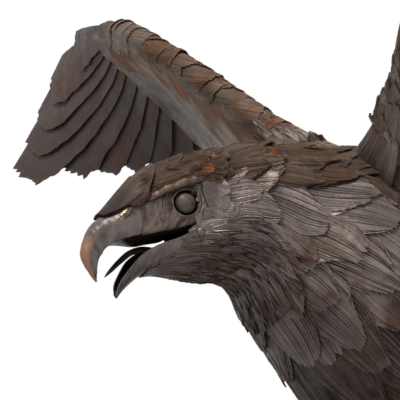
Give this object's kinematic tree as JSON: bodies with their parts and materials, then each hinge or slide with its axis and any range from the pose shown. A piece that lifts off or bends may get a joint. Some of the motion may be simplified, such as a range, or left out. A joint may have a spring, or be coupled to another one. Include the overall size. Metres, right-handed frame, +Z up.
{
  "type": "steel eagle sculpture",
  "caption": "Life-size eagle built of cut and welded steel feathers, wings raised and hooked beak open, gripping a steel branch on a round base plate.",
  "frame": {"origin": "centre of the base plate's underside", "axes": "the bird faces -Y, its left side is +X, +Z up"},
  "size_m": [1.4496, 0.7204, 0.9719],
  "materials": {
    "feather_steel": "dark brown patinated sheet steel, scored barbs, clear waxed, some rust",
    "face_steel": "hammered grey-brown steel with brazed seams",
    "beak_steel": "smooth forged steel, copper-brown at the hook, dark inside the mouth",
    "bar_steel": "blackened mill-finish bar",
    "perch_steel": "dark oiled steel, hammered bark texture on the branch and trunk"
  },
  "bodies": {
    "root": {"base_plate": "perch_steel", "breast_shell": "feather_steel", "crown_plate": "face_steel", "left_brow": "face_steel", "left_eye": "face_steel", "left_foot": "bar_steel", "left_leg": "bar_steel", "left_primary_1": "feather_steel", "left_primary_2": "feather_steel", "left_primary_3": "feather_steel", "left_primary_4": "feather_steel", "left_primary_5": "feather_steel", "left_primary_6": "feather_steel", "left_primary_7": "feather_steel", "left_primary_8": "feather_steel", "left_primary_9": "feather_steel", "left_thigh_feathers": "feather_steel", "left_wing_leading_edge": "feather_steel", "left_wing_secondaries": "feather_steel", "left_wing_spar": "bar_steel", "left_wing_under_coverts": "feather_steel", "left_wing_upper_coverts": "feather_steel", "lower_beak": "beak_steel", "perch_branch": "perch_steel", "perch_trunk": "perch_steel", "plumage_row_1": "feather_steel", "plumage_row_2": "feather_steel", "plumage_row_3": "feather_steel", "plumage_row_4": "feather_steel", "plumage_row_5": "feather_steel", "plumage_row_6": "feather_steel", "plumage_row_7": "feather_steel", "plumage_row_8": "feather_steel", "plumage_row_9": "feather_steel", "right_brow": "face_steel", "right_eye": "face_steel", "right_foot": "bar_steel", "right_leg": "bar_steel", "right_primary_1": "feather_steel", "right_primary_2": "feather_steel", "right_primary_3": "feather_steel", "right_primary_4": "feather_steel", "right_primary_5": "feather_steel", "right_primary_6": "feather_steel", "right_primary_7": "feather_steel", "right_primary_8": "feather_steel", "right_primary_9": "feather_steel", "right_thigh_feathers": "feather_steel", "right_wing_leading_edge": "feather_steel", "right_wing_secondaries": "feather_steel", "right_wing_spar": "bar_steel", "right_wing_under_coverts": "feather_steel", "right_wing_upper_coverts": "feather_steel", "skull": "face_steel", "spine_bar": "bar_steel", "tail_fan": "feather_steel", "tongue": "beak_steel", "torso_shell": "feather_steel", "upper_beak": "beak_steel"}
  },
  "joints": []
}
